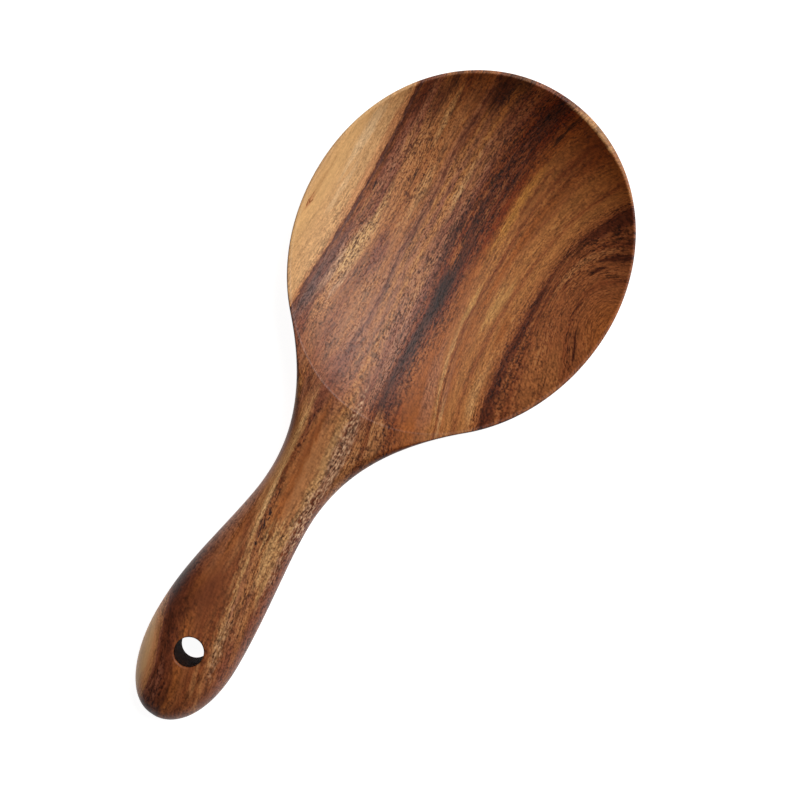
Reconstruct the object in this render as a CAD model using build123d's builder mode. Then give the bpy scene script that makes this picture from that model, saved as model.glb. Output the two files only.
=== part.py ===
"""A rice paddle, carved in one piece from an acacia board.

Sizes are in millimetres. +X points to the tip of the head and +Z up. The origin lies under
the widest part of the head, on the flat where the paddle rests on a table.

In front of its widest part the head is half of an oval bowl. Behind it, one loft runs back
through the rest of the head, the flare, the waist and the grip to the rounded end. The
dish and the hanging hole are cut out, and the belly is sanded flat below the bowl.
"""
import os
from math import cos, pi, radians, sin, sqrt

from build123d import *

os.makedirs("parts", exist_ok=True)

# The head is an oval, widest a little in front of its middle
board_thickness = 17.0
head_half_width = 44.35
head_front_reach = 49.0
head_back_reach = 51.8
rim_edge_width = 0.5
rim_edge_depth = 1.0
belly_sanded_off = 0.8
belly_wall_share = 0.45
belly_floor_share = 0.5

# The dish lies inside the head's outline, set in by the rim
rim_width = 0.95
dish_depth = 11.5
dish_edge_ease = 0.35
dish_wall_share = 0.48
dish_slope_share = 0.83
dish_floor_share = 0.45

# The handle leaves the head in a flare, narrows to the waist and swells to the grip
flare_start_share = 0.77
neck_length = 41.8
waist_half_width = 8.68
waist_top_drop = 1.6
waist_lift = 4.2
grip_length = 45.0
grip_half_width = 13.45
swell_power = 1.55
grip_top_drop = 1.0
grip_lift = 0.2
end_length = 24.2
end_fullness = 2.12
rounding_start_share = 0.87
shoulder_share = 0.62
widest_level_share = 0.52

# The handle is shaped by hand: its middle strays a little left, and its end right
grip_stray = 0.95
stray_length = 56.0
end_stray = 1.4
end_stray_power = 2.8

# The hanging hole is drilled through the thick of the grip
hole_radius = 4.0
hole_edge_ease = 0.3
hole_behind_grip = 3.1
hole_off_middle = 0.2

# A cubic curve follows a quarter of an ellipse when it leaves each end by this share
quarter_share = 0.5523
cut_overrun = 2.0

# Where the loft's sections stand
oval_angles = [0, 2, 6, 12, 20, 29, 39]
neck_steps = 6
grip_steps = 5
end_angles = [15, 30, 45, 60, 72, 80, 85]

flare_start = flare_start_share * head_back_reach
waist_reach = flare_start + neck_length
grip_reach = waist_reach + grip_length
end_reach = grip_reach + end_length
oval_narrowing = sqrt(1 - flare_start_share**2)
flare_half_width = head_half_width * oval_narrowing
flare_slope = head_half_width / head_back_reach * flare_start_share / oval_narrowing
flare_power = flare_slope * neck_length / (flare_half_width - waist_half_width)
rounding_start = rounding_start_share * head_back_reach
rim_edge_level = board_thickness - rim_edge_depth
dish_half_width = head_half_width - rim_width
dish_front_reach = head_front_reach - rim_width
dish_back_reach = head_back_reach
hole_reach = grip_reach + hole_behind_grip


def ease(share):
    """Rise from 0 to 1 as the share does, level at both ends."""
    return (1 - cos(pi * min(max(share, 0), 1))) / 2


def mix(first, last, share):
    """The value at this share of the way from first to last."""
    return first + (last - first) * share


def rounded(back):
    """How far the section has turned from the head's flat rim to the handle's round."""
    return ease((back - rounding_start) / (waist_reach - rounding_start))


def kept_at_end(back):
    """The share of the grip's section that its end keeps, a little fuller than an ellipse's."""
    run = min(max(back - grip_reach, 0) / end_length, 1)
    return (1 - run**end_fullness) ** (1 / end_fullness)


def half_width(back):
    """Half the width at this distance behind the widest part of the head."""
    if back <= flare_start:
        return head_half_width * sqrt(1 - (back / head_back_reach) ** 2)
    if back <= waist_reach:
        run = (waist_reach - back) / neck_length
        return mix(waist_half_width, flare_half_width, run**flare_power)
    run = min((back - waist_reach) / grip_length, 1)
    swell = sin(pi * run / 2) ** swell_power
    return mix(waist_half_width, grip_half_width, swell) * kept_at_end(back)


def levels(back):
    """The heights of the underside, of the widest line and of the top."""
    swell = ease((back - waist_reach) / grip_length)
    low = mix(-belly_sanded_off, waist_lift, ease(back / waist_reach))
    low = mix(low, grip_lift, swell)
    drop = mix(waist_top_drop * rounded(back), grip_top_drop, swell)
    high = board_thickness - drop
    widest = mix(rim_edge_level, mix(low, high, widest_level_share), rounded(back))
    kept = kept_at_end(back)
    return mix(widest, low, kept), widest, mix(widest, high, kept)


def stray(back):
    """How far the section's middle stands left of the axis, looking towards the tip."""
    left = ease((back - flare_start) / stray_length)
    right = ease((back - waist_reach) / (end_reach - waist_reach)) ** end_stray_power
    return grip_stray * left - (grip_stray + end_stray) * right


def half_section(back, side):
    """Draw one side of a section: the shoulder and the underside, down to the middle."""
    width = half_width(back)
    low, widest, high = levels(back)
    round_shoulder = shoulder_share * width
    shoulder = mix(rim_edge_width, round_shoulder, rounded(back))
    wall_share = mix(belly_wall_share, quarter_share, rounded(back))
    floor_share = mix(belly_floor_share, quarter_share, rounded(back))
    flat = width - shoulder
    Bezier(
        (side * flat, high),
        (side * mix(flat, width, quarter_share), high),
        (side * width, mix(widest, high, quarter_share)),
        (side * width, widest),
    )
    Bezier(
        (side * width, widest),
        (side * width, mix(widest, low, wall_share)),
        (side * width * floor_share, low),
        (0, low),
    )
    return side * flat, high


def section(back):
    """The closed section at this distance behind the widest part of the head."""
    plane = Plane((-back, stray(back), 0), x_dir=(0, 1, 0), z_dir=(1, 0, 0))
    with BuildSketch(plane) as sketch:
        with BuildLine():
            left = half_section(back, 1)
            right = half_section(back, -1)
            Line(left, right)
        make_face()
    return sketch.sketch


backs = [head_back_reach * sin(radians(angle)) for angle in oval_angles]
backs += [flare_start + neck_length * step / neck_steps for step in range(neck_steps)]
backs += [waist_reach + grip_length * step / grip_steps for step in range(grip_steps + 1)]
backs += [grip_reach + end_length * sin(radians(angle)) for angle in end_angles]

# The front half of the head, turned as a round bowl and then stretched to its reach
with BuildPart() as head_front:
    with BuildSketch(Plane.YZ):
        with BuildLine():
            flat_edge = half_section(0, 1)
            Line(flat_edge, (0, board_thickness))
            Line((0, board_thickness), (0, -belly_sanded_off))
        make_face()
    revolve(axis=Axis.Z, revolution_arc=-180)
    scale(by=(head_front_reach / head_half_width, 1, 1))


def dish_half(reach, arc):
    """Half of the dish as a solid to cut away, turned round and stretched to its reach."""
    floor = board_thickness - dish_depth
    eased_edge = dish_half_width - dish_edge_ease
    eased_level = board_thickness - dish_edge_ease
    with BuildPart() as half:
        with BuildSketch(Plane.YZ):
            with BuildLine():
                Bezier(
                    (0, floor),
                    (dish_floor_share * eased_edge, floor),
                    (dish_slope_share * eased_edge, mix(eased_level, floor, dish_wall_share)),
                    (eased_edge, eased_level),
                )
                Polyline(
                    (eased_edge, eased_level),
                    (dish_half_width + cut_overrun, board_thickness + cut_overrun),
                    (0, board_thickness + cut_overrun),
                    (0, floor),
                )
            make_face()
        revolve(axis=Axis.Z, revolution_arc=arc)
        scale(by=(reach / dish_half_width, 1, 1))
    return half.part


hole_place = (-hole_reach, stray(hole_reach) - hole_off_middle, 0)

with BuildPart() as rice_paddle:
    loft(sections=[section(back) for back in backs])
    add(head_front.part)
    add(dish_half(dish_front_reach, -180), mode=Mode.SUBTRACT)
    add(dish_half(dish_back_reach, 180), mode=Mode.SUBTRACT)
    split(bisect_by=Plane.XY, keep=Keep.TOP)
    with Locations(hole_place):
        Hole(hole_radius)
    bore = rice_paddle.faces().filter_by(GeomType.CYLINDER)
    mouths = bore.edges().filter_by(GeomType.LINE, reverse=True)
    fillet(mouths, hole_edge_ease)

rice_paddle.part.label = "rice_paddle"
export_step(rice_paddle.part, "parts/rice_paddle.step")
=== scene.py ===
"""The rice paddle's looks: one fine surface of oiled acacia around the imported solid.

Shapes are worked out in millimetres and put into the mesh in metres. +X points to the tip of
the head, +Y to the left of it and +Z up.
"""
from math import radians

import bmesh
import bpy
import numpy as np
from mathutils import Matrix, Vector


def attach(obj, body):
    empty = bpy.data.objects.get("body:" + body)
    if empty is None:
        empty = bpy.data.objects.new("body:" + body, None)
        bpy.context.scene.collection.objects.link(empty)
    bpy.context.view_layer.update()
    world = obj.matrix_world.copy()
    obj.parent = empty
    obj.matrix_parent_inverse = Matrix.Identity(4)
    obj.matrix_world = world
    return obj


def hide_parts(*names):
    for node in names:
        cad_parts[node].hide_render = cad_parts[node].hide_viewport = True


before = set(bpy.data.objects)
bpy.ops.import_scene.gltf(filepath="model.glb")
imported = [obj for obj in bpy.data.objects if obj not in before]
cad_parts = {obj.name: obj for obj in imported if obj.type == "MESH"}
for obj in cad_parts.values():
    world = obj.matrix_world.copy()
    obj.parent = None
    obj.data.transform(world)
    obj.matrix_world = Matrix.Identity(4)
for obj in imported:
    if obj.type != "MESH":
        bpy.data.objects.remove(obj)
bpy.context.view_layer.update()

METRES = 0.001
ROUND_OFF = 1e-9

# A cubic curve follows a quarter of an ellipse when it leaves each end by this share
QUARTER = 0.5523

# The head
BOARD = 17.0
HEAD_HALF_WIDTH = 44.34
HEAD_FRONT = 49.0
FRONT_FULLNESS = 2.03
HEAD_BACK = 51.8
RIM_EDGE_WIDTH = 0.5
RIM_EDGE_DEPTH = 1.0
BELLY_SANDED_OFF = 0.8
BELLY_BEND = 0.12
BELLY_WALL = 0.45
BELLY_FLOOR = 0.5

# The dish
DISH_DEPTH = 11.5
DISH_BACK = 52.1
DISH_EASE = 0.6
DISH_EASE_DROP = 0.26
# The rounding at its edge is a cubic: shares of the way inward and of the way down
DISH_EASE_INWARD = (0, 0.4, 0.7, 1)
DISH_EASE_DOWNWARD = (0, 0, 0.5, 1)
DISH_WALL = 0.48
DISH_SLOPE = 0.83
DISH_FLOOR = 0.45

# The rim's width by the angle from the tip, in degrees, left of it positive
RIM_WIDTHS = [(-180, 1.3), (-160, 1.5), (-140, 1.5), (-115, 1.0), (-90, 0.65), (-60, 0.55),
              (-40, 0.6), (-22, 1.15), (-8, 1.25), (8, 1.0), (30, 0.75), (60, 0.65), (90, 0.65),
              (115, 0.95), (140, 1.5), (160, 1.5), (180, 1.3)]

# The handle
FLARE_START_SHARE = 0.77
FLARE_START = FLARE_START_SHARE * HEAD_BACK
NECK = 41.8
WAIST = FLARE_START + NECK
WAIST_HALF_WIDTH = 8.68
WAIST_TOP_DROP = 1.6
WAIST_LIFT = 4.2
GRIP_LENGTH = 45.0
GRIP = WAIST + GRIP_LENGTH
GRIP_HALF_WIDTH = 13.45
SWELL_POWER = 1.55
GRIP_TOP_DROP = 1.0
GRIP_LIFT = 0.2
END_LENGTH = 24.1
END_FULLNESS = 2.12
END = GRIP + END_LENGTH
ROUNDING_START_SHARE = 0.87
ROUNDING_START = ROUNDING_START_SHARE * HEAD_BACK
SHOULDER = 0.62
WIDEST_LEVEL = 0.52
GRIP_STRAY = 0.95
STRAY_LENGTH = 56.0
END_STRAY = 1.4
END_STRAY_POWER = 2.8
OVAL_NARROWING = np.sqrt(1 - (FLARE_START / HEAD_BACK) ** 2)
FLARE_HALF_WIDTH = HEAD_HALF_WIDTH * OVAL_NARROWING
FLARE_SLOPE = HEAD_HALF_WIDTH / HEAD_BACK * FLARE_START / HEAD_BACK / OVAL_NARROWING
FLARE_POWER = FLARE_SLOPE * NECK / (FLARE_HALF_WIDTH - WAIST_HALF_WIDTH)

# The hanging hole
HOLE_RADIUS = 4.0
HOLE_EASE = 0.55
MOUTH_RADIUS = HOLE_RADIUS + HOLE_EASE
HOLE_BEHIND_GRIP = 3.1
HOLE_BACK = GRIP + HOLE_BEHIND_GRIP
HOLE_OFF_MIDDLE = 0.2

# How far from the dish and the hole the sections' inner edges are drawn over to meet them
EDGE_BLEND = 8.0

# How many cells each stretch of the surface has
QUARTER_CELLS = 90
NECK_CELLS = 83
HOLE_CELLS = 48
END_CELLS = 43
TOP_CELLS = 14
SHOULDER_CELLS = 10
UNDER_CELLS = 32
DISH_CELLS = 44
EASE_CELLS = 6
MOUTH_CELLS = 5
WALL_CELLS = 13

# Points of neighbouring patches that are closer than this many metres are one point
WELD = 2e-6


def ease(share):
    """Half a cosine wave: rises from 0 to 1 as the share does, level at both ends."""
    return (1 - np.cos(np.pi * np.clip(share, 0, 1))) / 2


def mix(first, last, share):
    """The value at this share of the way from first to last."""
    return first + (last - first) * share


def cubic(first, second, third, fourth, share):
    """A cubic Bezier curve through first and fourth, pulled towards second and third."""
    left = 1 - share
    return (first * left**3 + 3 * second * left**2 * share
            + 3 * third * left * share**2 + fourth * share**3)


def smooth_line(points, at):
    """A smooth curve through points (x, y), of cubics that share a slope at each point."""
    xs, ys = np.array(points, float).T
    slopes = np.gradient(ys, xs)
    first = np.clip(np.searchsorted(xs, at) - 1, 0, len(xs) - 2)
    run = xs[first + 1] - xs[first]
    share = (np.clip(at, xs[0], xs[-1]) - xs[first]) / run
    third_of_run = run / 3
    return cubic(ys[first], ys[first] + slopes[first] * third_of_run,
                 ys[first + 1] - slopes[first + 1] * third_of_run, ys[first + 1], share)


def front_arc(angle):
    """The shares of the reach and of the half-width on the head's front, a superellipse."""
    power = 2 / FRONT_FULLNESS
    return np.abs(np.cos(angle)) ** power, np.sign(angle) * np.abs(np.sin(angle)) ** power


def rounded(back):
    """How far the section has turned from the head's flat rim to the handle's round."""
    return ease((back - ROUNDING_START) / (WAIST - ROUNDING_START))


def kept_at_end(back):
    """The share of the grip's section that its end keeps, a little fuller than an ellipse's."""
    run = np.clip((back - GRIP) / END_LENGTH, 0, 1)
    return (1 - run**END_FULLNESS) ** (1 / END_FULLNESS)


def half_width(back):
    """An ellipse, then a power curve down to the waist, then half a cosine wave to the grip."""
    oval = HEAD_HALF_WIDTH * np.sqrt(np.clip(1 - (back / HEAD_BACK) ** 2, 0, 1))
    flare_run = np.clip((WAIST - back) / NECK, 0, 1)
    flare = mix(WAIST_HALF_WIDTH, FLARE_HALF_WIDTH, flare_run**FLARE_POWER)
    swell = np.sin(np.pi / 2 * np.clip((back - WAIST) / GRIP_LENGTH, 0, 1)) ** SWELL_POWER
    grip = mix(WAIST_HALF_WIDTH, GRIP_HALF_WIDTH, swell)
    handle = np.where(back <= WAIST, flare, grip * kept_at_end(back))
    return np.where(back <= FLARE_START, oval, handle)


def levels(back):
    """The heights of the underside, of the widest line and of the top, eased along the length."""
    swell = ease((back - WAIST) / GRIP_LENGTH)
    low = mix(-BELLY_SANDED_OFF, WAIST_LIFT, ease(back / WAIST))
    low = mix(low, GRIP_LIFT, swell)
    high = BOARD - mix(WAIST_TOP_DROP * rounded(back), GRIP_TOP_DROP, swell)
    widest = mix(BOARD - RIM_EDGE_DEPTH, mix(low, high, WIDEST_LEVEL), rounded(back))
    kept = kept_at_end(back)
    return mix(widest, low, kept), widest, mix(widest, high, kept)


def stray(back):
    """How far the handle's middle stands left of the axis, looking towards the tip."""
    left = ease((back - FLARE_START) / STRAY_LENGTH)
    right = ease((back - WAIST) / (END - WAIST)) ** END_STRAY_POWER
    return GRIP_STRAY * left - (GRIP_STRAY + END_STRAY) * right


HOLE_MIDDLE = stray(HOLE_BACK) - HOLE_OFF_MIDDLE


def sanded_level(height):
    """Below the table's level the belly is sanded off: a hyperbola bends it level just above."""
    return (height + np.sqrt(height**2 + BELLY_BEND**2)) / 2


def rim_width(angle):
    """The rim's width at an angle from the tip, in radians."""
    return smooth_line(RIM_WIDTHS, np.degrees(angle))


def section_rows(back, inner, across):
    """Rows of a section's half, from its inner edge over the shoulder and round the underside.

    back, inner and across are arrays along the stations: inner is where the top starts, and
    across the half-width. The result is widths and heights of shape (rows, stations). The top
    is level, the shoulder and the underside are cubics, and the underside stops at a hole.
    """
    low, widest, high = levels(back)
    turned = rounded(back)
    shoulder = mix(RIM_EDGE_WIDTH, SHOULDER * across, turned)
    flat = across - shoulder
    wall = mix(widest, low, mix(BELLY_WALL, QUARTER, turned))
    floor = across * mix(BELLY_FLOOR, QUARTER, turned)
    run = np.linspace(0, 1, TOP_CELLS + 1)[:, None]
    top_width = mix(inner, flat, run)
    top_height = np.broadcast_to(high, top_width.shape)
    run = np.linspace(0, 1, SHOULDER_CELLS + 1)[1:, None]
    shoulder_width = cubic(flat, mix(flat, across, QUARTER), across, across, run)
    shoulder_height = cubic(high, high, mix(widest, high, QUARTER), widest, run)
    stop = under_stop(across, floor, np.where(back > WAIST, inner, 0))
    run = np.linspace(0, 1, UNDER_CELLS + 1)[1:, None] * stop
    under_width = cubic(across, across, floor, 0 * across, run)
    under_height = cubic(widest, wall, low, low, run)
    widths = np.concatenate([top_width, shoulder_width, under_width])
    heights = np.concatenate([top_height, shoulder_height, under_height])
    return widths, sanded_level(heights)


def under_stop(across, floor, inner):
    """The share of the underside's cubic at which its width has come down to inner, by halving."""
    low, high = np.zeros_like(across), np.ones_like(across)
    halvings = 40
    for _ in range(halvings):
        middle = (low + high) / 2
        still_wide = cubic(across, across, floor, 0 * across, middle) > inner
        low = np.where(still_wide, middle, low)
        high = np.where(still_wide, high, middle)
    return np.where(inner > 0, (low + high) / 2, 1)


def grid_faces(start, rows, columns):
    """The four-cornered faces of a grid of points that are numbered row by row from start."""
    first = start + np.arange((rows - 1) * columns).reshape(rows - 1, columns)[:, :-1].ravel()
    return np.stack([first, first + 1, first + columns + 1, first + columns], axis=1)


def front_outside():
    """The head's front half: the widest section turned about the middle and stretched forwards."""
    angle = np.linspace(-np.pi / 2, np.pi / 2, 2 * QUARTER_CELLS + 1)
    rim = rim_width(angle)
    back = np.zeros_like(angle)
    across = np.full_like(angle, HEAD_HALF_WIDTH)
    widths, heights = section_rows(back, HEAD_HALF_WIDTH - rim, across)
    reach = widths * HEAD_FRONT / HEAD_HALF_WIDTH
    run = np.linspace(0, 1, TOP_CELLS + 1)[:, None]
    land_reach = mix(HEAD_FRONT - rim, reach[TOP_CELLS], run)
    reach[:TOP_CELLS + 1] = land_reach
    forward, side = front_arc(angle)
    return np.stack([reach * forward, widths * side, heights], axis=-1)


def back_stations():
    """How far back each section stands, dense at the dish's end, the hole and the rounded end."""
    quarter = np.linspace(0, np.pi / 2, QUARTER_CELLS + 1)
    dish = DISH_BACK * np.sin(quarter)
    neck = np.linspace(DISH_BACK, HOLE_BACK - MOUTH_RADIUS, NECK_CELLS + 1)[1:]
    hole = HOLE_BACK - MOUTH_RADIUS * np.cos(np.linspace(0, np.pi, HOLE_CELLS + 1))[1:]
    past_hole = np.arcsin((HOLE_BACK + MOUTH_RADIUS - GRIP) / END_LENGTH)
    end = GRIP + END_LENGTH * np.sin(np.linspace(past_hole, np.pi / 2, END_CELLS + 1))[1:]
    return np.concatenate([dish, neck, hole, end])


def back_inner(back, side):
    """Where the top starts beside the middle: the dish's edge, the middle itself, or the hole."""
    sine = np.clip(back / DISH_BACK, 0, 1)
    angle = side * (np.pi / 2 + np.arcsin(sine))
    edge = (HEAD_HALF_WIDTH - rim_width(angle)) * np.sqrt(1 - sine**2)
    chord = np.sqrt(np.clip(MOUTH_RADIUS**2 - (back - HOLE_BACK) ** 2, 0, None))
    return np.where(back < WAIST, edge, chord)


def back_outside(side):
    """One side of the head's back and the handle: sections along the length, past the hole.

    Each section is centred on the handle's stray, but its inner edge keeps to the dish's edge
    and to the hole's mouth, and the shift eases out within a few millimetres of them.
    """
    back = back_stations()
    widths, heights = section_rows(back, back_inner(back, side), half_width(back))
    from_hole = np.abs(back - HOLE_BACK) - MOUTH_RADIUS
    to_hole = (HOLE_MIDDLE - stray(back)) * (1 - ease(from_hole / EDGE_BLEND))
    to_dish = -stray(back) * (1 - ease((back - DISH_BACK) / EDGE_BLEND))
    middle = np.broadcast_to(stray(back), widths.shape).copy()
    middle[:TOP_CELLS + 1] += np.linspace(1, 0, TOP_CELLS + 1)[:, None] * (to_hole + to_dish)
    middle[-UNDER_CELLS - 1:] += np.linspace(0, 1, UNDER_CELLS + 1)[:, None] * to_hole
    reach = np.broadcast_to(-back, widths.shape)
    return np.stack([reach, middle + side * widths, heights], axis=-1)


def dish_inside():
    """The dish: one profile carried round its edge and drawn in to the middle.

    The profile is a small rounding at the rim, then a steep wall that bends into the floor.
    """
    angle = np.linspace(-np.pi, np.pi, 4 * QUARTER_CELLS + 1)
    rim = rim_width(angle)
    front = np.cos(angle) >= -ROUND_OFF
    forward, side = front_arc(angle)
    reach = np.where(front, (HEAD_FRONT - rim) * forward, DISH_BACK * np.cos(angle))
    across = (HEAD_HALF_WIDTH - rim) * np.where(front, side, np.sin(angle))
    _, _, high = levels(np.clip(-reach, 0, None))
    radius = HEAD_HALF_WIDTH - rim
    run = np.linspace(0, 1, EASE_CELLS + 1)[:, None]
    ease_radius = radius - DISH_EASE * cubic(*DISH_EASE_INWARD, run)
    ease_drop = DISH_EASE_DROP * cubic(*DISH_EASE_DOWNWARD, run)
    run = np.linspace(0, 1, DISH_CELLS + 1)[1:, None]
    edge = radius - DISH_EASE
    wall_radius = cubic(edge, DISH_SLOPE * edge, DISH_FLOOR * edge, 0 * edge, run)
    wall_second = mix(DISH_EASE_DROP, DISH_DEPTH, DISH_WALL)
    wall_drop = cubic(DISH_EASE_DROP, wall_second, DISH_DEPTH, DISH_DEPTH, run)
    share = np.concatenate([ease_radius, wall_radius]) / radius
    drop = np.concatenate([ease_drop, wall_drop])
    heights = high - drop * (high - BOARD + DISH_DEPTH) / DISH_DEPTH
    return np.stack([reach * share, across * share, heights], axis=-1)


def hole_wall():
    """The hole's wall, a cylinder whose two mouths are rounded over to the surface."""
    angle = np.linspace(0, 2 * np.pi, 2 * HOLE_CELLS + 1)
    back = HOLE_BACK - MOUTH_RADIUS * np.cos(angle)
    chord = MOUTH_RADIUS * np.abs(np.sin(angle))
    widths, heights = section_rows(back, chord, half_width(back))
    top, bottom = heights[0], heights[-1]
    run = np.linspace(0, 1, MOUTH_CELLS + 1)[:, None]
    rounding = MOUTH_RADIUS - HOLE_EASE * cubic(0, QUARTER, 1, 1, run)
    drop = HOLE_EASE * cubic(0, 0, 1 - QUARTER, 1, run)
    run = np.linspace(0, 1, WALL_CELLS + 1)[1:-1, None]
    wall = mix(top - HOLE_EASE, bottom + HOLE_EASE, run)
    heights = np.concatenate([top - drop, wall, (bottom + drop)[::-1]])
    radius = np.concatenate([rounding, np.full_like(run, HOLE_RADIUS), rounding[::-1]])
    reach = -HOLE_BACK + radius * np.cos(angle)
    across = HOLE_MIDDLE + radius * np.sin(angle)
    return np.stack([reach, across, heights], axis=-1)


# The growth lines in the board, each as points (x, y) seen from above, in millimetres. Each is
# named by where it crosses the line from side to side through the origin.
GROWTH_LINES = {
    -39.5: [(-160, -110), (-60, -90), (-20, -56), (-8, -46), (-2, -41), (0, -39.5), (5, -38.5),
            (10, -40), (14, -46), (20, -58), (40, -95), (50, -110)],
    -34.2: [(-160, -90), (-60, -72), (-30, -52), (-15, -42), (-9, -38.5), (-5, -36), (0, -34.2),
            (5, -33.6), (11, -34.2), (15, -36.5), (18, -41), (22, -48), (40, -80), (50, -90)],
    -28.8: [(-160, -76), (-60, -60), (-40, -43.5), (-30, -38), (-20, -34.5), (-10, -31),
            (0, -28.8), (8, -28.3), (15, -29.8), (20, -32.5), (24, -37), (28, -44), (40, -65),
            (50, -75)],
    -24.4: [(-160, -66), (-100, -54), (-60, -46), (-45, -35), (-38, -31.6), (-33, -29.6),
            (-27, -28), (-20, -26.6), (-10, -25.3), (0, -24.4), (10, -24.3), (20, -25.6),
            (27, -28), (33, -31), (37, -34.5), (42, -40), (50, -52)],
    -17.5: [(-160, -56), (-100, -40), (-60, -36), (-45, -26.5), (-40, -24.5), (-30, -21.5),
            (-20, -19.3), (-10, -18), (0, -17.5), (10, -17.7), (20, -19), (30, -21.6),
            (38, -25), (44, -29), (50, -34)],
    -8.6: [(-160, -45), (-100, -26), (-80, -24), (-60, -25), (-50, -22), (-42, -19), (-35, -16),
           (-28, -13.5), (-20, -11.6), (-10, -9.8), (0, -8.6), (10, -7.6), (20, -7),
           (30, -7.2), (40, -8.8), (50, -12)],
    0.0: [(-160, -34), (-130, -24), (-100, -15), (-80, -12), (-70, -11.5), (-60, -10.8),
          (-50, -7.6), (-40, -5.2), (-30, -4), (-20, -3), (-10, -1.5), (0, 0), (10, 1.2),
          (20, 1.9), (30, 1.9), (40, 0.9), (50, -0.8)],
    7.0: [(-160, -26), (-130, -16), (-110, -9.5), (-100, -7.2), (-90, -5.9), (-80, -5.2),
          (-70, -4.5), (-60, -3), (-50, -1.6), (-40, 0.2), (-30, 2.2), (-15, 5.2), (0, 7),
          (15, 8.6), (30, 9.2), (45, 8.4), (50, 8)],
    14.0: [(-160, -13), (-150, -12), (-140, -9.5), (-130, -6.5), (-120, -4), (-110, -2),
           (-100, 0.5), (-90, 3), (-80, 5.2), (-70, 7), (-60, 8.8), (-50, 10.3), (-40, 10.7),
           (-30, 11.2), (-20, 12.1), (-10, 13.2), (0, 14), (10, 15.2), (20, 16.6), (30, 17.6),
           (40, 18), (50, 18)],
    22.5: [(-160, -2), (-150, 0), (-145, 1), (-137, 3), (-130, 6), (-122, 9.8), (-113, 12),
           (-100, 11.5), (-90, 10.5), (-80, 10.2), (-70, 10.5), (-60, 13.5), (-50, 18),
           (-40, 21), (-30, 21.5), (-20, 21.6), (-10, 22), (0, 22.5), (10, 23.5), (20, 25),
           (35, 27), (50, 28)],
    31.3: [(-160, 8), (-150, 8), (-140, 9.5), (-130, 13), (-120, 17), (-105, 19.5), (-90, 18),
           (-75, 17.5), (-60, 22), (-45, 28.6), (-37, 29.4), (-20, 30.1), (0, 31.4), (15, 32.9),
           (30, 34.4), (50, 36.6)],
    46.0: [(-160, 30), (-140, 24), (-120, 26), (-100, 28), (-80, 29), (-60, 34), (-37, 44),
           (0, 46), (50, 50)],
}

# The growth layers lean: a line met lower down in the board lies further out from this point.
# LEAN_HEIGHT is where lines with the same lean would meet, above the table.
LEAN_CENTRE = (-42.5, -8.88)
GROWTH_SHIFT = 0.22
LEAN_HEIGHT = 394.0
LEAN_LEVEL = 17.0
BELLY_LEVEL = 5.5
BELLY_LEAN = 0.7

# End grain, and the shade painted with it, show less in the handle than in the head, and the
# change runs along the neck
HANDLE_END_GRAIN_AND_SHADE = 1 / 3
END_GRAIN_AND_SHADE_CHANGE_BACK = 90.0
END_GRAIN_AND_SHADE_CHANGE_RUN = 30.0


def grain_at(points):
    """The wood's own coordinates in millimetres: along the fibres, across the layers, and depth.

    The across coordinate is read between the two growth lines that a point lies between. The
    lines lean outwards with depth, and below the dish's floor they also drift sideways.
    """
    scale = (LEAN_HEIGHT - LEAN_LEVEL) / (LEAN_HEIGHT - points[:, 2])
    along = LEAN_CENTRE[0] + (points[:, 0] - LEAN_CENTRE[0]) * scale
    side = LEAN_CENTRE[1] - GROWTH_SHIFT + (points[:, 1] - LEAN_CENTRE[1]) * scale
    names = sorted(GROWTH_LINES)
    lines = [smooth_line(GROWTH_LINES[name], along) for name in names]
    across = names[0] + side - lines[0]
    for name, above, line, line_above in zip(names, names[1:], lines, lines[1:]):
        share = (side - line) / (line_above - line)
        across = np.where(side >= line, mix(name, above, share), across)
    across = np.where(side >= lines[-1], names[-1] + side - lines[-1], across)
    across = across + BELLY_LEAN * np.clip(BELLY_LEVEL - points[:, 2], 0, None)
    return np.stack([along, across, points[:, 2]], axis=-1)


def end_grain_and_shade_at(points, normals):
    """How squarely the fibres are cut against their run, which also carries painted shade on faces
    turned away from the key light: the share of the normal that faces back.

    It counts in full in the head and by a third in the handle, which is sanded more.
    """
    share = ease((points[:, 0] + END_GRAIN_AND_SHADE_CHANGE_BACK) / END_GRAIN_AND_SHADE_CHANGE_RUN)
    sanded = mix(HANDLE_END_GRAIN_AND_SHADE, 1, share)
    return np.clip(-normals[:, 0], 0, 1) * sanded


def in_hole(mesh):
    """Which faces are the drilled wall: their middle lies within the hole's radius of its axis."""
    middles = np.empty(len(mesh.polygons) * 3)
    mesh.polygons.foreach_get("center", middles)
    reach, side, _ = middles.reshape(-1, 3).T / METRES
    slack = 0.02
    return np.hypot(reach + HOLE_BACK, side - HOLE_MIDDLE) < HOLE_RADIUS + slack


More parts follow.
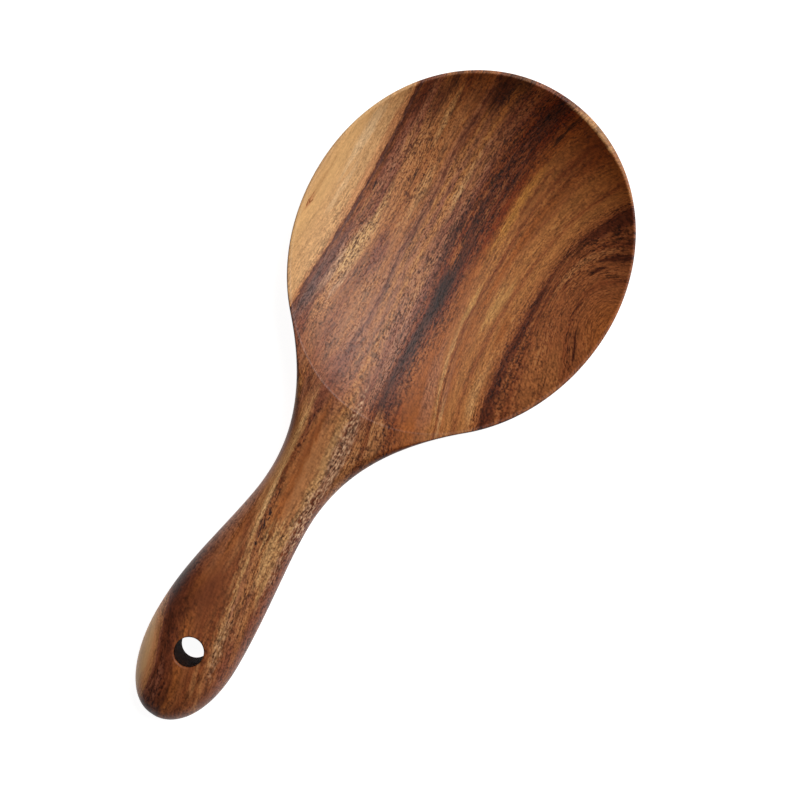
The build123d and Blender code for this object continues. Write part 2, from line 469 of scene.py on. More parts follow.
def made_paddle():
    """The whole surface: its patches are joined along their shared edges and face outwards."""
    patches = [front_outside(), back_outside(1), back_outside(-1), dish_inside(), hole_wall()]
    points, faces, start = [], [], 0
    for patch in patches:
        rows, columns = patch.shape[:2]
        points.append(patch.reshape(-1, 3))
        faces.append(grid_faces(start, rows, columns))
        start += rows * columns
    points = np.concatenate(points)
    mesh = bpy.data.meshes.new("rice_paddle_wood")
    mesh.from_pydata(points * METRES, [], np.concatenate(faces))
    shape = bmesh.new()
    shape.from_mesh(mesh)
    bmesh.ops.remove_doubles(shape, verts=shape.verts, dist=WELD)
    bmesh.ops.recalc_face_normals(shape, faces=shape.faces)
    shape.to_mesh(mesh)
    shape.free()
    mesh.shade_smooth()
    mesh.polygons.foreach_set("material_index", in_hole(mesh).astype(np.int32))
    places = np.empty(len(mesh.vertices) * 3)
    mesh.vertices.foreach_get("co", places)
    places = places.reshape(-1, 3) / METRES
    normals = np.empty(len(mesh.vertices) * 3)
    mesh.vertices.foreach_get("normal", normals)
    attribute = mesh.attributes.new("grain", "FLOAT_VECTOR", "POINT")
    attribute.data.foreach_set("vector", grain_at(places).astype(np.float32).ravel())
    # Painted shade along with the end grain: faces turned back, away from the key light, are
    # marked to be darkened
    end_grain_and_shade = end_grain_and_shade_at(places, normals.reshape(-1, 3))
    attribute = mesh.attributes.new("end_grain_and_shade", "FLOAT", "POINT")
    attribute.data.foreach_set("value", end_grain_and_shade.astype(np.float32))
    piece = bpy.data.objects.new("rice_paddle_wood", mesh)
    bpy.context.scene.collection.objects.link(piece)
    return piece


def linear(hex_colour):
    """An sRGB hex colour as linear red, green, blue and an alpha of 1."""
    parts = [int(hex_colour[at:at + 2], 16) / 255 for at in (0, 2, 4)]
    return [c / 12.92 if c <= 0.04045 else ((c + 0.055) / 1.055) ** 2.4 for c in parts] + [1]


def live_output(node):
    """The first of a node's outputs that its settings leave in use."""
    return next(output for output in node.outputs if output.enabled)


def add(tree, kind, fill=(), **settings):
    """Adds a node with its settings and fills its live sockets, in their order, from the list.

    An entry is a number, a vector, a colour, a socket, or a node, whose first live output is used.
    """
    node = tree.nodes.new(kind)
    for name, value in settings.items():
        setattr(node, name, value)
    sockets = [socket for socket in node.inputs if socket.enabled]
    for socket, value in zip(sockets, fill):
        if isinstance(value, bpy.types.Node):
            value = live_output(value)
        if isinstance(value, bpy.types.NodeSocket):
            tree.links.new(value, socket)
        elif value is not None:
            socket.default_value = value
    return node


# The wood's tones, from the sapwood under the bark to the painted shade on the drilled hole's wall
TONES = {
    "pale sapwood": "d6a66e",
    "cream": "d8b285",
    "sapwood": "ca9a68",
    "sapwood edge": "b97c50",
    "rose straw": "c39673",
    "straw": "ba8a58",
    "pale gold": "b9874d",
    "gold": "b67b3a",
    "tan": "a56c41",
    "warm tan": "a66b3a",
    "red tan": "945d3e",
    "rose tan": "955f43",
    "honey": "9d6135",
    "amber": "945327",
    "brown": "884d2a",
    "rose brown": "7d4631",
    "red brown": "7a4022",
    "rust": "743316",
    "umber": "63301b",
    "plum": "5c3b33",
    "slate brown": "5e4743",
    "dark umber": "4f2413",
    "mineral": "2f1b16",
    # Painted shade: the two near-black tones of the drilled hole's wall
    "hole shade": "301a10",
    "deep hole shade": "180c08",
}

# The growth layers: where each lies across the board, in millimetres, and its tone
HEAD_LAYERS = [
    (-44, "amber"), (-36, "brown"), (-34.5, "red brown"), (-33, "brown"), (-30, "brown"),
    (-27.6, "brown"), (-26.8, "red brown"), (-25.8, "brown"), (-25.2, "umber"),
    (-24.5, "dark umber"), (-23.9, "umber"), (-23.3, "brown"), (-21.6, "honey"),
    (-19.6, "warm tan"), (-18.4, "honey"), (-18, "brown"), (-17.4, "honey"),
    (-15.4, "warm tan"), (-13.6, "honey"),
    (-12.4, "amber"), (-11.2, "honey"), (-10.6, "red brown"), (-10, "honey"), (-9, "warm tan"),
    (-7.6, "honey"), (-6, "amber"), (-4.8, "amber"), (-3.6, "red brown"), (-2.6, "rust"),
    (-1.6, "umber"), (-0.6, "umber"), (0.6, "umber"), (1.6, "rust"), (2.6, "red brown"),
    (4, "rose brown"), (5.2, "red tan"), (6.4, "rose brown"), (7.6, "red tan"), (9, "warm tan"),
    (10.4, "red tan"), (12, "warm tan"), (13, "red tan"), (13.5, "umber"), (14, "red tan"),
    (15.4, "honey"), (16.6, "tan"), (18.4, "honey"), (19.4, "brown"), (20.4, "honey"),
    (22, "tan"), (24.4, "tan"), (25.8, "rose brown"), (26.8, "rose tan"), (28.6, "rose brown"),
    (29.8, "brown"), (30.3, "plum"), (31.0, "umber"), (31.4, "sapwood edge"), (32.6, "sapwood"),
    (36, "sapwood"), (39.6, "pale sapwood"), (41.4, "pale sapwood"), (44, "sapwood"),
]
NECK_LAYERS = [
    (-8, "amber"), (0, "brown"), (3, "red brown"), (5, "rose brown"), (6.2, "rose brown"),
    (7.2, "rose tan"), (8, "straw"), (9, "tan"), (10.4, "tan"), (11.4, "amber"),
    (12.6, "honey"), (13.2, "brown"), (13.6, "umber"), (14, "tan"), (15, "straw"), (16, "tan"),
    (17.6, "tan"), (19, "rose tan"), (22, "rose tan"), (30, "brown"),
]
GRIP_LAYERS = [
    (2, "rose brown"), (5.6, "rose brown"), (6.6, "red brown"), (7.6, "rose brown"),
    (9.2, "brown"), (10.2, "rose brown"), (11.4, "brown"), (12.6, "rose tan"), (13.6, "tan"),
    (14.2, "brown"), (14.6, "red brown"), (15.4, "brown"), (17, "red brown"), (18, "brown"),
    (19.6, "amber"), (20.6, "red brown"), (21.4, "umber"), (22.6, "dark umber"), (24, "umber"),
    (24.8, "rose brown"), (25.6, "tan"), (26.6, "sapwood edge"), (28.4, "sapwood"),
    (36, "sapwood"),
]

# How lively the figure is across the board
FIGURE_LAYERS = [
    (-44, 0.5), (-29, 0.6), (-26, 0.9), (-23, 0.8), (-21, 0.5), (-16, 0.45), (-8, 0.45),
    (-4.6, 0.6), (-3, 1.0), (0, 1.1), (4, 1.1), (6, 0.8), (12, 0.6), (14, 0.6), (18, 0.6),
    (24, 0.7), (28, 0.8), (31, 0.6), (32, 0.4), (36, 0.3), (39, 0.15), (44, 0.15),
]

# The handle's layers change into the neck's, and the neck's into the head's, along these stretches
GRIP_TO_NECK = (-112, -92)
NECK_TO_HEAD = (-62, -46)

# A colour ramp holds this many stops
RAMP_STOPS = 32


def layered(tree, across, stops):
    """A tone or a share that changes from layer to layer, in as many ramps as its stops need."""
    whole = None
    for start in range(0, len(stops) - 1, RAMP_STOPS - 1):
        part = stops[start:start + RAMP_STOPS]
        first, last = part[0][0], part[-1][0]
        place = add(tree, "ShaderNodeMapRange", [across, first, last])
        ramp = add(tree, "ShaderNodeValToRGB", [place])
        band = ramp.color_ramp
        while len(band.elements) < len(part):
            band.elements.new(1)
        for element, (at, tone) in zip(band.elements, part):
            element.position = (at - first) / (last - first)
            element.color = linear(TONES[tone]) if tone in TONES else [tone, tone, tone, 1]
        past = add(tree, "ShaderNodeMath", [across, first], operation="GREATER_THAN")
        whole = add(tree, "ShaderNodeMix", [past, whole or ramp, ramp], data_type="RGBA")
    return whole


# A patch is whole up to the first share of its half-size and gone past the second
PATCH_CORE = 0.25
PATCH_EDGE = 1.15


def patch(tree, place, at, size, strength):
    """A soft oval patch on the board: its middle along and across, half its size, its strength."""
    offset = add(tree, "ShaderNodeVectorMath", [place, (*at, 0)], operation="SUBTRACT")
    shares = add(tree, "ShaderNodeVectorMath", [offset, (1 / size[0], 1 / size[1], 0)],
                 operation="MULTIPLY")
    radius = add(tree, "ShaderNodeVectorMath", [shares], operation="LENGTH")
    return add(tree, "ShaderNodeMapRange", [radius, PATCH_EDGE, PATCH_CORE, 0, strength],
               interpolation_type="SMOOTHSTEP")


def fibres(tree, grain, size, detail, low, high, to_low=0.0, to_high=1.0):
    """Noise in patches of this length, width and depth in millimetres, spread over a range."""
    scaled = add(tree, "ShaderNodeVectorMath", [grain, [1 / side for side in size]],
                 operation="MULTIPLY")
    noise_scale, noise_roughness = 1, 0.6
    noise = add(tree, "ShaderNodeTexNoise", [scaled, noise_scale, detail, noise_roughness],
                normalize=True)
    return add(tree, "ShaderNodeMapRange", [noise, low, high, to_low, to_high])


# The wood's patterns: length, width and depth in millimetres, detail, the range of the noise that
# counts, and what it stands for where that isn't 0 to 1
DRIFT = ((26, 5, 20), 1, 0.25, 0.75, -0.5, 0.5)
FEATHER = ((3, 0.6, 2), 3, 0.25, 0.75, -0.5, 0.5)
WANDER = ((20, 1.5, 6), 2, 0.25, 0.75, -5, 5)
SPECKLE_CELLS = ((1.1, 0.4, 0.8), 0, 0.34, 0.64)
STREAKS = ((24, 0.9, 8), 3, 0.3, 0.7, 0.83, 1.17)
LIVELY_AREAS = ((12, 3, 8), 1, 0.35, 0.65, 0.7, 1.3)
PORE_DASHES = ((1.1, 0.42, 0.9), 1, 0.54, 0.62)
GLEAMS = ((6.0, 0.36, 1.2), 1, 0.56, 0.68, 0, 0.6)
DRILLED_RINGS = ((0.6, 0.6, 4), 2, 0.35, 0.65)

# The figure's octaves: length, width and depth in millimetres, detail, and how far each lightens
FIGURE = [
    ((12, 0.9, 4), 1, 0.26),
    ((5, 0.5, 2), 1, 0.30),
    ((2.2, 0.36, 1), 0, 0.36),
    ((0.55, 0.42, 0.6), 0, 0.40),
]
# The range of their noise that counts
FIGURE_RANGE = (0.3, 0.7)

# Patches that break the layers: where along and across, half their size, tone and strength
# The dark patches near the tip, about 36 to 45 mm along, are partly wood tone and partly painted
# shade on the dish's front wall
STAINS = [
    ((-32, 28.6), (20, 2.4), "slate brown", 0.8),
    ((-45, 25), (10, 5), "rose brown", 0.8),
    ((-48, 14), (12, 6), "rose brown", 0.8),
    ((-30, 30.2), (14, 0.5), "rose brown", 0.6),
    ((2, 29.6), (10, 0.9), "brown", 0.7),
    ((-24, 28.0), (6, 0.8), "rose brown", 0.7),
    ((6, 32.4), (24, 0.9), "sapwood edge", 0.6),
    ((18, 31.8), (8, 1.4), "sapwood edge", 0.8),
    ((18, 29.8), (16, 0.8), "dark umber", 0.9),
    ((28, 28.2), (9, 1.6), "umber", 1.0),
    ((-4, 28.2), (8, 0.8), "tan", 0.8),
    ((3, 28.6), (2, 0.4), "mineral", 1.0),
    ((-6, 41.2), (10, 0.8), "straw", 0.6),
    ((-12.0, 41.0), (5, 0.6), "sapwood edge", 0.8),
    ((-14.0, 41.2), (0.9, 0.3), "brown", 1.2),
    ((-11.6, 40.8), (0.8, 0.3), "brown", 1.2),
    ((-9.4, 41.3), (0.8, 0.3), "brown", 1.2),
    ((12, 37.0), (14, 1.6), "cream", 0.9),
    ((-4, 35.4), (8, 0.7), "cream", 0.5),
    ((-24, 26.0), (8, 1.2), "rose straw", 0.6),
    ((-25, 22.6), (7, 1.3), "rose straw", 0.6),
    ((-10, 26.6), (12, 0.8), "brown", 0.7),
    ((14, 26.4), (8, 1.0), "tan", 0.8),
    ((30, 23.6), (9, 1.8), "umber", 0.8),
    ((-40, 19.0), (12, 3.4), "rose brown", 0.5),
    ((-36, 12.2), (18, 0.9), "rose brown", 0.6),
    ((-15, 24.0), (11, 2.6), "straw", 1.0),
    ((6, 23.8), (14, 1.4), "tan", 0.8),
    ((-4, 24.4), (7, 1.0), "straw", 0.6),
    ((6, 17.0), (8, 1.8), "straw", 0.6),
    ((10, 20.0), (18, 5.0), "honey", 0.5),
    ((-14, 18.6), (9, 2.5), "rose brown", 0.9),
    ((-24, 21.0), (10, 0.7), "rose brown", 0.6),
    ((12, 20.3), (1.6, 0.5), "mineral", 1.0),
    ((26, 19.8), (8, 1.2), "straw", 0.7),
    ((38, 17.5), (9, 4.0), "umber", 0.4),
    ((40, 11.5), (9, 2.6), "dark umber", 0.9),
    ((28, 12.4), (8, 0.8), "red brown", 0.7),
    ((16, 12.2), (6, 0.8), "tan", 0.7),
    ((14, 8.0), (10, 0.9), "straw", 0.6),
    ((8, 10.0), (10, 0.8), "rose brown", 0.7),
    ((-36, 4.8), (20, 1.4), "rose tan", 0.8),
    ((-15, 6.2), (14, 1.5), "tan", 0.8),
    ((20, 6.2), (14, 1.0), "tan", 0.7),
    ((-43, 1.2), (16, 1.5), "mineral", 0.55),
    ((-27, 0.4), (12, 1.4), "mineral", 0.7),
    ((-13, -0.5), (10, 2.5), "mineral", 0.9),
    ((-2, 0.6), (6, 1.0), "amber", 0.8),
    ((-38, -1.9), (14, 0.9), "brown", 0.8),
    ((-34, 3.6), (12, 0.8), "rose tan", 0.7),
    ((-34, -3.4), (20, 1.6), "amber", 0.9),
    ((3, -1.8), (10, 0.9), "dark umber", 0.9),
    ((2, 3.8), (14, 1.4), "dark umber", 0.9),
    ((16, 1.2), (10, 0.7), "brown", 0.8),
    ((28, 3.2), (9, 2.2), "brown", 0.7),
    ((28, -1.2), (8, 0.7), "red brown", 0.8),
    ((22, -2.8), (14, 0.6), "mineral", 0.7),
    ((9, 0.2), (9, 0.5), "mineral", 0.5),
    ((13, -1.2), (9, 0.4), "brown", 0.9),
    ((11, 2.4), (9, 0.4), "brown", 0.9),
    ((21, 0.9), (9, 0.4), "mineral", 0.7),
    ((24, 2.2), (8, 0.4), "umber", 0.7),
    ((33, -2.0), (9, 0.4), "mineral", 0.6),
    ((43, 0.2), (8, 2.4), "mineral", 0.5),
    ((14, -4.6), (20, 1.2), "rust", 1.0),
    ((42, -5.0), (9, 0.6), "mineral", 0.9),
    ((18, -7.4), (20, 1.4), "gold", 0.8),
    ((24, -12.0), (14, 3.0), "honey", 0.6),
    ((40, -12.0), (10, 5.0), "brown", 0.5),
    ((-30, -9.2), (16, 0.8), "straw", 0.7),
    ((-12, -9.5), (9, 0.7), "pale gold", 0.8),
    ((-13, -7.4), (8, 0.7), "brown", 0.5),
    ((-40, -12.0), (9, 1.5), "tan", 0.4),
    ((-16, -13.6), (12, 2.6), "honey", 0.4),
    ((-7, -15.6), (10, 1.8), "pale gold", 0.7),
    ((-20, -17.6), (14, 0.5), "brown", 0.8),
    ((-12, -20.2), (9, 1.2), "amber", 0.8),
    ((-32, -20.6), (10, 1.4), "straw", 0.6),
    ((34, -10.8), (12, 0.5), "red brown", 0.8),
    ((22, -9.0), (18, 0.4), "red brown", 0.7),
    ((29, -12.0), (16, 0.4), "umber", 0.6),
    ((20, -13.6), (14, 0.4), "brown", 0.7),
    ((-36, -7.0), (16, 1.6), "rose tan", 0.7),
    ((-36, -12.0), (14, 1.2), "rose tan", 0.7),
    ((30, -17.8), (12, 0.5), "red brown", 0.4),
    ((13, -24.7), (11, 0.9), "brown", 0.7),
    ((-14, -32), (8, 3), "honey", 0.6),
    ((45, -9), (6, 5), "red brown", 0.6),
    ((44, 9.0), (6, 3.0), "mineral", 0.6),
    ((36, 22.2), (8, 1.2), "dark umber", 0.7),
    ((-42, -12.2), (8, 1.0), "straw", 0.6),
    ((14, -12.2), (20, 1.2), "amber", 0.5),
    ((0, -26.4), (10, 0.6), "umber", 0.6),
    ((28, -26.8), (8, 1.2), "umber", 0.5),
    ((12, -27.6), (12, 1.0), "tan", 0.6),
    ((22, -29.5), (4, 1.0), "dark umber", 1.1),
    ((14, -31.0), (4, 0.7), "dark umber", 1.0),
    ((8, -28.6), (5, 0.5), "umber", 1.0),
    ((4, -34.5), (4, 0.6), "dark umber", 0.9),
    ((-4, -36.5), (3, 0.7), "dark umber", 1.0),
    ((-20, -29.0), (14, 1.6), "honey", 0.5),
    ((-55, 13.2), (10, 0.5), "umber", 0.5),
    ((-73, 17.6), (13, 2.6), "tan", 0.8),
    ((-66, 20.4), (14, 1.6), "rose tan", 0.9),
    ((-54, 21.5), (6, 2.0), "amber", 0.9),
    ((-66, 3.6), (16, 2.0), "tan", 0.9),
    ((-57, 0.2), (10, 1.8), "tan", 0.9),
    ((-82, 14.8), (7, 0.9), "straw", 0.9),
    ((-112, 17.6), (12, 2.6), "red brown", 0.9),
    ((-96, 18.6), (12, 1.2), "amber", 0.7),
    ((-90, 18.2), (9, 0.6), "red brown", 0.7),
    ((-104, 15.4), (12, 0.5), "red brown", 0.9),
    ((-95, 9.8), (11, 1.6), "straw", 0.9),
    ((-106, 11.8), (16, 1.0), "tan", 0.7),
    ((-112, 13.6), (12, 0.7), "straw", 0.5),
    ((-106, 8.4), (6, 0.9), "tan", 0.8),
    ((-122, 12.4), (8, 1.2), "straw", 0.7),
    ((-134, 12.6), (10, 1.6), "brown", 0.7),
    ((-86, 14.3), (10, 0.9), "sapwood", 0.8),
    ((-95.2, 13.0), (1.2, 0.32), "mineral", 1.2),
    ((-92.6, 13.3), (1.1, 0.34), "mineral", 1.2),
    ((-90.0, 13.1), (1.2, 0.32), "mineral", 1.2),
    ((-87.6, 12.8), (1.1, 0.3), "mineral", 1.2),
    ((-85.2, 12.9), (1.2, 0.3), "mineral", 1.2),
    ((-82.6, 12.7), (1.6, 0.28), "dark umber", 1.2),
    ((-64, 12.0), (14, 1.0), "red brown", 0.5),
    ((-66, 8.6), (18, 0.8), "straw", 0.5),
    ((-120, 20.0), (8, 1.6), "dark umber", 0.7),
    ((-93, 17.2), (6, 1.0), "red brown", 0.9),
    ((-102, 16.0), (7, 0.7), "red brown", 0.7),
    ((-116, 14.2), (8, 0.6), "red brown", 0.6),
    ((-92, 11.9), (5, 0.6), "straw", 0.8),
    ((-64, 6.3), (13, 1.8), "rose straw", 0.8),
    ((-58, 21.8), (7, 1.4), "straw", 0.9),
    ((-144, 20.2), (7, 1.0), "dark umber", 0.7),
    ((-142, 23.0), (9, 1.4), "rose brown", 0.7),
    ((-116, 9.8), (10, 1.4), "tan", 0.7),
    ((-104, 8.0), (8, 0.9), "straw", 0.7),
    ((-102, 13.8), (7, 0.6), "straw", 0.6),
    ((-92, 10.2), (6, 0.8), "straw", 0.8),
    ((-138, 12.0), (7, 1.4), "umber", 0.6),
    ((-137, 15.4), (6, 0.9), "tan", 0.7),
    ((-55, 17.8), (5, 1.4), "umber", 0.8),
    ((-98, 6.2), (9, 1.3), "red brown", 0.8),
    ((-116, 18.6), (10, 1.8), "umber", 0.5),
    ((-70, 15.8), (12, 2.4), "straw", 0.5),
    ((-113, 23.2), (10, 1.2), "mineral", 0.6),
]

# Patches where the figure is livelier, with dark dashes and pale lines, in the same order
CROWDS = [
    ((-90, 13.1), (12, 0.9), 0.9),
    ((-118, 12.6), (14, 1.8), 0.6),
    ((-100, 11.6), (14, 1.4), 0.5),
    ((-62, 13.2), (16, 0.5), 0.8),
    ((-143, 22.6), (12, 2.2), 0.8),
    ((-20, 5.0), (18, 3.0), 0.7),
    ((6, 4.0), (16, 1.8), 0.8),
    ((-14, 24.4), (14, 3.0), 0.6),
    ((12, 21.0), (18, 7.0), 0.7),
    ((8, 9.6), (18, 3.4), 0.6),
    ((20, 0.0), (22, 3.4), 0.9),
    ((18, -28.0), (9, 2.4), 0.6),
    ((12, -31.5), (8, 1.6), 0.5),
    ((-6, -35.0), (7, 1.2), 0.7),
]

# Patches of short dark cells in a pale net, in the same order
SPECKLES = [
    ((-83, 6.5), (13, 2.1), 1.1),
    ((-64, 6.4), (16, 2.2), 0.8),
    ((-97, 6.8), (14, 1.4), 0.5),
    ((-54, 6.8), (8, 1.0), 0.9),
    ((-124, 12.0), (10, 1.2), 0.4),
]

# Patches where the figure rests, in the same order
CALMS = [
    ((-112, 18.2), (18, 3.4), 0.7),
    ((-136, 18.0), (12, 3.0), 0.4),
    ((-70, 10.8), (20, 2.4), 0.7),
    ((-72, 18.4), (16, 2.6), 0.6),
    ((-46, -4.0), (14, 4.0), 0.4),
    ((-136, 28.5), (18, 4.0), 0.9),
]


def most(tree, place, patches):
    """The strongest cover that any of the patches gives."""
    cover = 0.0
    for at, size, strength in patches:
        cover = add(tree, "ShaderNodeMath", [cover, patch(tree, place, at, size, strength)],
                    operation="MAXIMUM")
    return cover


# The light on the fibres: how far a crowd adds to its contrast, and its most in red, green, blue
CROWD_CONTRAST = 0.4
MOST_LIGHT = (1.3, 1.55, 1.8)

# Tints that multiply the wood's tone: soaked end grain with painted shade, pores and gleaming
# fibres
SOAKED_AND_SHADED_TINT = (0.4, 0.26, 0.13)
PORE_TINT = (0.4, 0.31, 0.28)
GLEAM_TINT = (1.7, 1.9, 2.1)
SOAKED_AND_SHADED_FROM_TO = (0.02, 0.5)

# Where the rim's edge beside the tip gets a painted highlight: its levels in millimetres, and a
# patch
RIM_HIGHLIGHT_LEVELS = (16.7, 16.95)
RIM_HIGHLIGHT_PATCH = ((47, -9), (7, 9), 0.7)

# The surface: its roughness between and in the pores, and the pores' bump and depth in metres
ROUGH_FROM_TO = (0.42, 0.52)
PORE_BUMP = 0.3
PORE_DEPTH = 0.00006


def shaded_drilled_acacia():
    """Acacia's end grain in the drilled hole: dull, and painted nearly black with the deep hole's
    shade.
    """
    material = bpy.data.materials.new("shaded_drilled_acacia")
    material.use_nodes = True
    tree = material.node_tree
    tree.nodes.clear()
    grain = add(tree, "ShaderNodeAttribute", attribute_name="grain").outputs["Vector"]
    rings = fibres(tree, grain, *DRILLED_RINGS)
    # The wall's near-black tone is painted shade
    tone = add(tree, "ShaderNodeMix", [rings, linear(TONES["hole shade"]), linear(TONES["deep hole shade"])],
               data_type="RGBA")
    wood = add(tree, "ShaderNodeBsdfPrincipled", [tone])
    wood.inputs["Roughness"].default_value = 0.9
    wood.inputs["Specular IOR Level"].default_value = 0.05
    add(tree, "ShaderNodeOutputMaterial", [wood])
    return material


def oiled_acacia():
    """Acacia heartwood with a strip of sapwood, sanded along the grain and oiled to a satin.

    To the eye: golden sapwood against red-brown heartwood, dark growth bands, short dark pore
    dashes and fine fibre streaks, darker where the fibres are cut across and with painted shade on
    faces turned back from the key light, under a satin gloss.
    """
    material = bpy.data.materials.new("oiled_acacia")
    material.use_nodes = True
    tree = material.node_tree
    tree.nodes.clear()
    grain = add(tree, "ShaderNodeAttribute", attribute_name="grain").outputs["Vector"]
    parts = add(tree, "ShaderNodeSeparateXYZ", [grain])
    along, across, height = parts.outputs

    # The layers wander slowly, and their edges are feathered by single fibres
    moved = add(tree, "ShaderNodeMath", [across, fibres(tree, grain, *DRIFT)], operation="ADD")
    moved = add(tree, "ShaderNodeMath", [moved, fibres(tree, grain, *FEATHER)], operation="ADD")
    reach = add(tree, "ShaderNodeMath", [along, fibres(tree, grain, *WANDER)], operation="ADD")
    share = add(tree, "ShaderNodeMapRange", [reach, *GRIP_TO_NECK])
    handle = add(tree, "ShaderNodeMix", [share, layered(tree, moved, GRIP_LAYERS),
                 layered(tree, moved, NECK_LAYERS)], data_type="RGBA")
    share = add(tree, "ShaderNodeMapRange", [reach, *NECK_TO_HEAD])
    head = layered(tree, moved, HEAD_LAYERS)
    colour = add(tree, "ShaderNodeMix", [share, handle, head], data_type="RGBA")

    bent = add(tree, "ShaderNodeCombineXYZ", [reach, moved])
    for at, size, tone, strength in STAINS:
        cover = patch(tree, bent, at, size, strength)
        colour = add(tree, "ShaderNodeMix", [cover, colour, linear(TONES[tone])], data_type="RGBA")
    crowd = most(tree, bent, CROWDS)

    # The speckled line: short dark cells in a pale net
    cells = fibres(tree, grain, *SPECKLE_CELLS)
    net = add(tree, "ShaderNodeMix", [cells, linear(TONES["rose straw"]), linear(TONES["umber"])],
              data_type="RGBA")
    speckled = most(tree, bent, SPECKLES)
    colour = add(tree, "ShaderNodeMix", [speckled, colour, net], data_type="RGBA")

    # Streaks, fine fibres and a short ripple lighten and darken the tone
    light = fibres(tree, grain, *STREAKS)
    for size, detail, strength in FIGURE:
        figure = fibres(tree, grain, size, detail, *FIGURE_RANGE, 1 - strength, 1 + strength)
        light = add(tree, "ShaderNodeMath", [light, figure], operation="MULTIPLY")
    lively = add(tree, "ShaderNodeMath", [layered(tree, moved, FIGURE_LAYERS),
                 fibres(tree, grain, *LIVELY_AREAS)], operation="MULTIPLY")
    rest = add(tree, "ShaderNodeMath", [1.0, most(tree, bent, CALMS)], operation="SUBTRACT")
    lively = add(tree, "ShaderNodeMath", [lively, rest], operation="MULTIPLY")
    stronger = add(tree, "ShaderNodeMath", [crowd, CROWD_CONTRAST, lively],
                   operation="MULTIPLY_ADD")
    light = add(tree, "ShaderNodeMath", [light, stronger], operation="POWER")
    lively = add(tree, "ShaderNodeMath", [lively, crowd], operation="ADD")

    # The lightest fibres are paler and yellower rather than only brighter
    limited = [add(tree, "ShaderNodeMath", [light, most_light], operation="MINIMUM")
               for most_light in MOST_LIGHT]
    gain = add(tree, "ShaderNodeCombineXYZ", limited)

    # End grain drinks more oil, and faces turned back from the key light get painted shade: the
    # dish's front wall and the handle's end are deeper in tone
    cut = add(tree, "ShaderNodeAttribute", attribute_name="end_grain_and_shade").outputs["Fac"]
    soaked_and_shaded = add(tree, "ShaderNodeMapRange", [cut, *SOAKED_AND_SHADED_FROM_TO],
                 interpolation_type="SMOOTHSTEP")
    lit = add(tree, "ShaderNodeVectorMath", [colour, gain], operation="MULTIPLY")
    soaked_and_shaded_tone = add(tree, "ShaderNodeVectorMath", [lit, SOAKED_AND_SHADED_TINT], operation="MULTIPLY")
    lit = add(tree, "ShaderNodeMix", [soaked_and_shaded, lit, soaked_and_shaded_tone], data_type="RGBA")

    # The rim's edge beside the tip gets a painted highlight in pale straw
    edge = add(tree, "ShaderNodeMapRange", [height, *RIM_HIGHLIGHT_LEVELS])
    edge = add(tree, "ShaderNodeMath", [edge, patch(tree, bent, *RIM_HIGHLIGHT_PATCH)],
               operation="MULTIPLY")
    painted_rim_highlight = add(tree, "ShaderNodeVectorMath", [linear(TONES["straw"])[:3], gain],
               operation="MULTIPLY")
    lit = add(tree, "ShaderNodeMix", [edge, lit, painted_rim_highlight], data_type="RGBA")

    # The dashes are drawn 0.4 mm wide, about twice their real width, so that they show
    dashes = fibres(tree, grain, *PORE_DASHES)
    pores = add(tree, "ShaderNodeMath", [dashes, lively], operation="MULTIPLY", use_clamp=True)
    dark = add(tree, "ShaderNodeVectorMath", [lit, PORE_TINT], operation="MULTIPLY")
    holed = add(tree, "ShaderNodeMix", [pores, lit, dark], data_type="RGBA")
    gleams = fibres(tree, grain, *GLEAMS)
    gleams = add(tree, "ShaderNodeMath", [gleams, crowd], operation="MULTIPLY", use_clamp=True)
    bright = add(tree, "ShaderNodeVectorMath", [colour, GLEAM_TINT], operation="MULTIPLY")
    finished = add(tree, "ShaderNodeMix", [gleams, holed, bright], data_type="RGBA")

    rough = add(tree, "ShaderNodeMapRange", [pores, 0, 1, *ROUGH_FROM_TO])
    bump = add(tree, "ShaderNodeBump", [PORE_BUMP, PORE_DEPTH], invert=True)
    tree.links.new(pores.outputs[0], bump.inputs["Height"])
    wood = add(tree, "ShaderNodeBsdfPrincipled")
    wood.inputs["IOR"].default_value = 1.5
    wood.inputs["Specular IOR Level"].default_value = 0.22
    for socket, node in (("Base Color", finished), ("Roughness", rough), ("Normal", bump)):
        tree.links.new(live_output(node), wood.inputs[socket])
    add(tree, "ShaderNodeOutputMaterial", [wood])
    return material


def light_table():
    """White opal acrylic lit softly from below, which leaves hardly any shadow."""
    material = bpy.data.materials.new("opal_acrylic")
    material.use_nodes = True
    shader = material.node_tree.nodes["Principled BSDF"]
    shader.inputs["Base Color"].default_value = linear("a0a0a0")
    shader.inputs["Roughness"].default_value = 0.8
    shader.inputs["Emission Color"].default_value = linear("ffffff")
    shader.inputs["Emission Strength"].default_value = 0.95
    return material


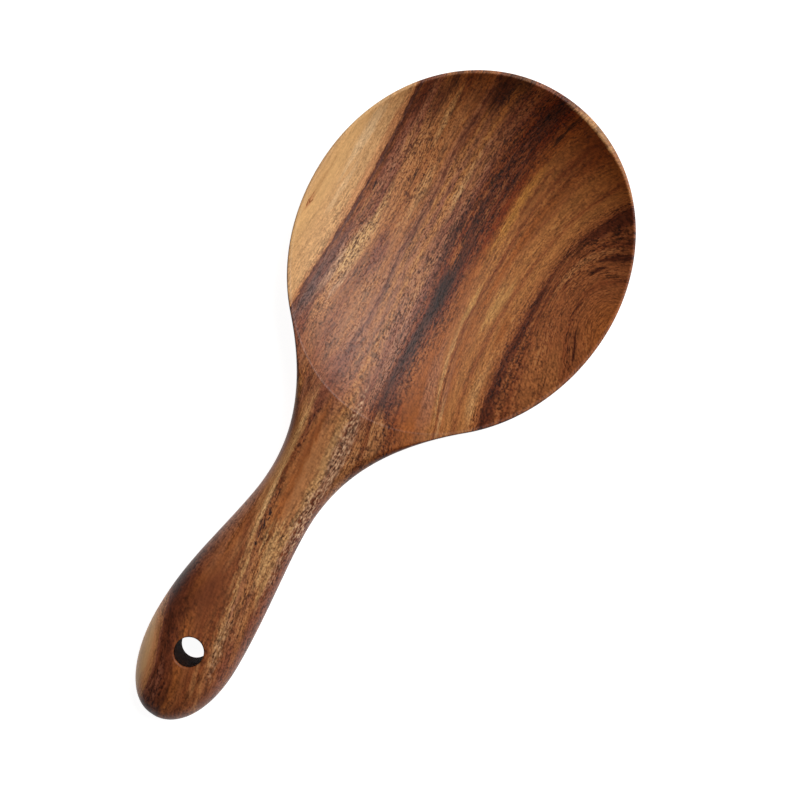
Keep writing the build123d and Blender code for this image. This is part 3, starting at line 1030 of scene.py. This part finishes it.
def add_softbox(name, place, aim, size, power):
    """Adds a square lamp that faces a point."""
    lamp = bpy.data.lights.new(name, "AREA")
    lamp.shape = "SQUARE"
    lamp.size = size
    lamp.energy = power
    holder = bpy.data.objects.new(name, lamp)
    bpy.context.scene.collection.objects.link(holder)
    holder.location = place
    away = Vector(place) - Vector(aim)
    holder.rotation_euler = away.to_track_quat("Z", "Y").to_euler()


paddle = made_paddle()
paddle.data.materials.append(oiled_acacia())
paddle.data.materials.append(shaded_drilled_acacia())
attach(paddle, "root")
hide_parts("rice_paddle")

# Floor
floor_half = 6.0
floor_level = -0.0001
corners = [(-1, -1), (1, -1), (1, 1), (-1, 1)]
floor_points = [(x * floor_half, y * floor_half, floor_level) for x, y in corners]
floor_mesh = bpy.data.meshes.new("floor")
floor_mesh.from_pydata(floor_points, [], [(0, 1, 2, 3)])
floor_mesh.materials.append(light_table())
floor = bpy.data.objects.new("floor", floor_mesh)
bpy.context.scene.collection.objects.link(floor)

# Light
key_distance = 0.9
key_turn = radians(-22)
key_rise = radians(58)
key_aim = (0, 0, 0.01)
key_size = 0.5
key_power = 9.5
key_flat = key_distance * np.cos(key_rise)
key_height = key_distance * np.sin(key_rise)
key_place = (key_flat * np.cos(key_turn), key_flat * np.sin(key_turn), key_height)
add_softbox("key", key_place, key_aim, key_size, key_power)

# The sky glows most at the horizon
horizon_glow = 2.1
zenith_glow = 0.3
world = bpy.data.worlds.new("studio")
world.use_nodes = True
sky = world.node_tree
direction = add(sky, "ShaderNodeTexCoord").outputs["Generated"]
rise = add(sky, "ShaderNodeSeparateXYZ", [direction]).outputs["Z"]
glow = add(sky, "ShaderNodeMapRange", [rise, 0, 1, horizon_glow, zenith_glow])
sky.links.new(glow.outputs[0], sky.nodes["Background"].inputs["Strength"])
bpy.context.scene.world = world

# Camera: straight above the neck, turned as the photograph is
camera_place = (-0.0425, -0.00888, 0.394)
camera_turn = radians(-55.56)
camera_view = radians(31.47)
lens = bpy.data.cameras.new("camera")
lens.angle = camera_view
camera = bpy.data.objects.new("camera", lens)
camera.location = camera_place
camera.rotation_euler = (0, 0, camera_turn)
bpy.context.scene.collection.objects.link(camera)
bpy.context.scene.camera = camera

scene = bpy.context.scene
scene.view_settings.view_transform = "Standard"
scene.view_settings.look = "None"
